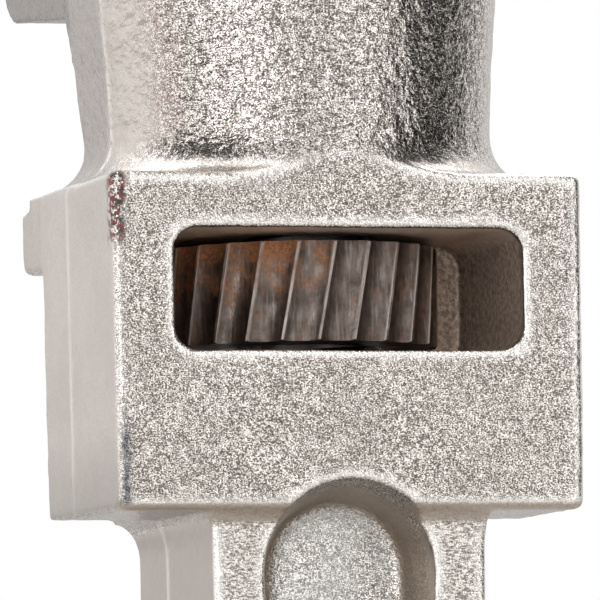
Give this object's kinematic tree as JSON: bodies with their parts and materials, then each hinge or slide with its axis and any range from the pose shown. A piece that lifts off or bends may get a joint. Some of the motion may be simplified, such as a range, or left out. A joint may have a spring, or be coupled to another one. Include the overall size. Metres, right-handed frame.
{
  "type": "pipe wrench",
  "caption": "Adjustable pipe wrench: cast handle with an open nut housing, threaded hook jaw, captive knurled nut, pinned heel jaw and jaw springs.",
  "frame": {"origin": "centre of the hang hole at the end of the handle", "axes": "+Z along the handle towards the jaws, +X towards the spine (the jaws open towards -X), +Y across the thickness"},
  "size_m": [0.0862, 0.067, 0.4355],
  "materials": {
    "casting": "blasted casting, linished sides",
    "forged_steel": "forged, ground teeth",
    "nut_steel": "machined, light rust",
    "pin_steel": "ground",
    "spring_steel": "oil tempered"
  },
  "bodies": {
    "root": {"handle_housing": "casting", "heel_jaw": "forged_steel", "heel_jaw_pin": "pin_steel", "flat_spring": "spring_steel", "flat_spring_rivet": "pin_steel", "coil_spring": "spring_steel"},
    "hook_jaw": {"hook_jaw": "forged_steel"},
    "nut": {"adjusting_nut": "nut_steel"}
  },
  "joints": [
    {"name": "hook_jaw_slide", "type": "slide", "parent": "root", "child": "hook_jaw", "axis": [0, 0, 1], "range_m": [-0.034, 0.028]},
    {"name": "nut_spin", "type": "hinge", "parent": "root", "child": "nut", "pos_m": [-0.0064, 0, 0.2825], "axis": [0, 0, 1], "range_deg": [-2401, 2915]}
  ],
  "couplings": [
    {"joint": "nut_spin", "follows": "hook_jaw_slide", "rad_per_m": -1496}
  ]
}
